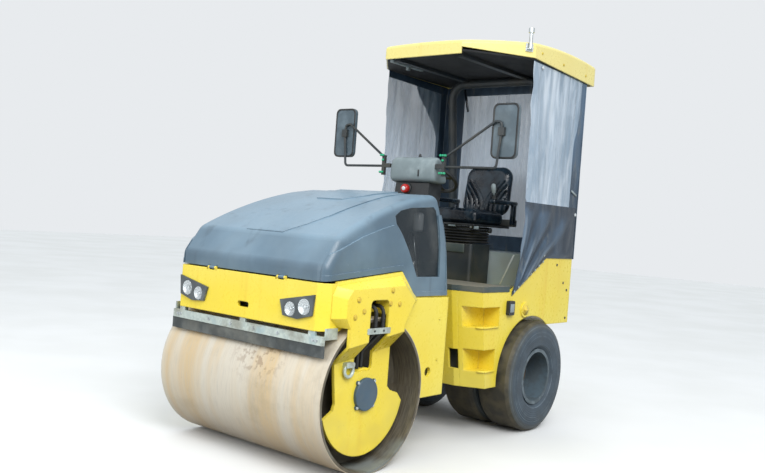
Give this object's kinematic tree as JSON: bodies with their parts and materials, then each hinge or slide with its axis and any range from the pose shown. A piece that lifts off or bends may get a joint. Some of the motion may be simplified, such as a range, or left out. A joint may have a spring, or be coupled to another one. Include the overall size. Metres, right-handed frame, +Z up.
{
  "type": "combination road roller",
  "caption": "Compact ride-on road roller: smooth steel drum under a sloping hood in front, twin smooth tyres behind, centre hinge, canopy with weather curtains.",
  "frame": {"origin": "on the ground, under the middle of the machine's length and width", "axes": "+X forward, +Y to the machine's left, +Z up"},
  "size_m": [2.95, 1.64, 2.884],
  "materials": {
    "yellow_paint": "worn gloss",
    "grey_plastic": "weathered satin",
    "dark_paint": "satin",
    "drum_steel": "dusty, worn by rolling",
    "bare_steel": "satin",
    "galvanised": "zinc",
    "tyre_rubber": "smooth tread, dusty",
    "black_rubber": "matt",
    "black_vinyl": "satin",
    "black_plastic": "grained",
    "light_plastic": "grained",
    "clear_vinyl": "streaked clear sheet",
    "dark_fabric": "coated cloth",
    "tinted_glass": "dark tint",
    "lamp_glass": "clear",
    "red_lens": "ribbed lens",
    "mirror_shell": "grained",
    "rim_paint": "dusty"
  },
  "bodies": {
    "front_frame": {"front_frame": "yellow_paint", "yokes": "yellow_paint", "hub_caps": "grey_plastic", "engine_block": "dark_paint", "lamp_bezels": "black_plastic", "lamp_lenses": "lamp_glass", "spray_bar": "galvanised", "front_scraper": "black_rubber", "rear_scraper": "galvanised", "drum_hoses": "black_rubber", "hose_straps": "galvanised", "lifting_shackles": "galvanised"},
    "hood": {"hood": "grey_plastic", "hood_windows": "tinted_glass"},
    "drum": {"drum": "drum_steel"},
    "knuckle": {"pivot_knuckle": "dark_paint"},
    "cylinder_ram": {"cylinder_rod": "bare_steel"},
    "rear_frame": {"rear_chassis": "dark_paint", "hinge_bracket": "dark_paint", "rear_body": "yellow_paint", "platform_deck": "dark_paint", "rear_axle": "dark_paint", "seat_pedestal": "dark_paint", "seat_suspension": "black_rubber", "seat_cushion": "black_vinyl", "seat_back": "black_vinyl", "armrests": "black_vinyl", "console": "black_plastic", "instrument_cover": "light_plastic", "mirror_arms": "dark_paint", "mirror_heads": "mirror_shell", "rollover_frame": "dark_paint", "canopy_roof": "yellow_paint", "canopy_liner": "black_plastic", "lamp_socket": "bare_steel", "side_curtain_windows": "clear_vinyl", "side_curtain_cloth": "dark_fabric", "rear_curtain_cloth": "dark_fabric", "rear_curtain_window": "clear_vinyl", "cylinder_barrel": "dark_paint", "marker_lamps": "black_plastic", "tail_lamps": "red_lens", "filler_cap": "yellow_paint", "stop_button": "red_lens"},
    "steering_wheel": {"steering_wheel": "black_plastic"},
    "wheels_left": {"rims_left": "rim_paint", "tyre_left_outer": "tyre_rubber", "tyre_left_inner": "tyre_rubber"},
    "wheels_right": {"rims_right": "rim_paint", "tyre_right_outer": "tyre_rubber", "tyre_right_inner": "tyre_rubber"}
  },
  "joints": [
    {"name": "steer", "type": "hinge", "parent": "rear_frame", "child": "knuckle", "pos_m": [0.225, 0, 0.52], "axis": [0, 0, 1], "range_deg": [-25, 25]},
    {"name": "frame_rock", "type": "hinge", "parent": "knuckle", "child": "front_frame", "pos_m": [0.332, 0, 0.52], "axis": [1, 0, 0], "range_deg": [-8, 8]},
    {"name": "drum_roll", "type": "hinge", "parent": "front_frame", "child": "drum", "pos_m": [1.025, 0, 0.45], "axis": [0, 1, 0], "continuous": true},
    {"name": "hood_tilt", "type": "hinge", "parent": "front_frame", "child": "hood", "pos_m": [1.44, 0, 1.097], "axis": [0, 1, 0], "range_deg": [0, 60]},
    {"name": "left_wheels_roll", "type": "hinge", "parent": "rear_frame", "child": "wheels_left", "pos_m": [-0.785, 0, 0.4], "axis": [0, 1, 0], "continuous": true},
    {"name": "right_wheels_roll", "type": "hinge", "parent": "rear_frame", "child": "wheels_right", "pos_m": [-0.785, 0, 0.4], "axis": [0, 1, 0], "continuous": true},
    {"name": "steering_wheel_turn", "type": "hinge", "parent": "rear_frame", "child": "steering_wheel", "pos_m": [-0.33, 0, 1.79], "axis": [-0.493, 0, 0.87], "continuous": true},
    {"name": "ram_slide", "type": "slide", "parent": "rear_frame", "child": "cylinder_ram", "axis": [1, 0, 0], "range_m": [-0.0802, 0.0802]}
  ],
  "couplings": [
    {"joint": "ram_slide", "follows": "steer", "m_per_rad": 0.1835}
  ]
}
